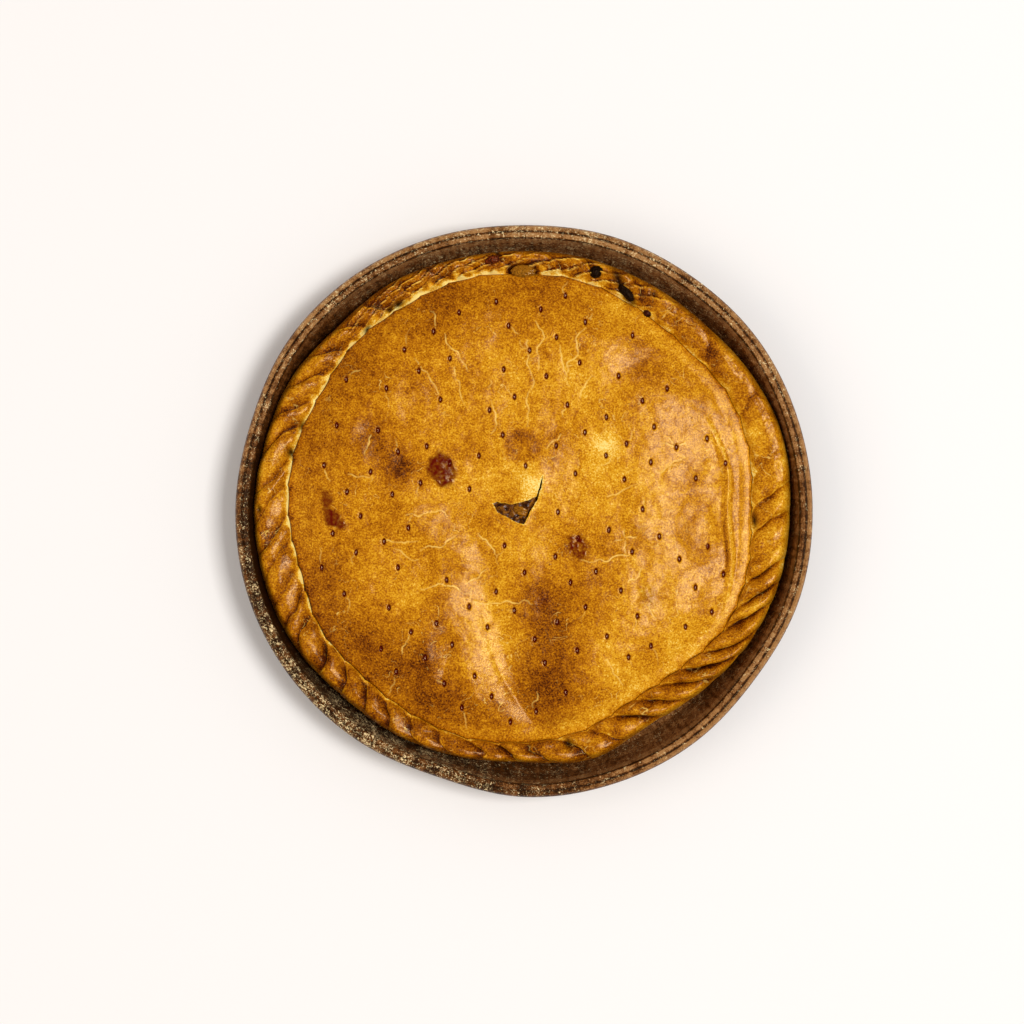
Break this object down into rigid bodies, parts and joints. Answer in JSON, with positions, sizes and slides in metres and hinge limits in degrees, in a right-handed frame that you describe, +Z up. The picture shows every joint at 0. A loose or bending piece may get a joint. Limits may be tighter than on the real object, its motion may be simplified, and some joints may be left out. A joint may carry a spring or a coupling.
{
  "type": "salt cod and raisin empanada",
  "caption": "Whole round covered pie with a crimped rope edge, a pricked golden lid torn open at the middle, and the shallow brown paper mould it was baked in.",
  "frame": {"origin": "on the surface it stands on, under the middle of the mould", "axes": "+Z up; +X to the right and +Y to the back, as seen from above with the burst stretch of the rope at the back"},
  "size_m": [0.3128, 0.3098, 0.0308],
  "materials": {
    "paper_mould": "brown greaseproof baking paper, pressed and pleated, with fine gold flecks",
    "crust": "egg-washed bread dough baked golden brown, darker on the crimps",
    "lid_crust": "egg-washed bread dough baked golden, softly shiny, with fine pale cracks and dark blisters",
    "filling": "moist stewed onion and salt cod with raisins",
    "raisin": "baked raisin, dark, wrinkled and sticky",
    "onion": "stewed onion, glossy and half clear"
  },
  "bodies": {
    "root": {"baking_mould": "paper_mould", "bottom_crust": "crust", "filling": "filling", "lid": "lid_crust", "onion_in_rope": "onion", "onion_in_vent": "onion", "raisin_at_lid": "raisin", "raisin_burnt": "raisin", "raisin_in_rope": "raisin", "raisin_in_split": "raisin", "raisin_in_vent": "raisin"}
  },
  "joints": []
}
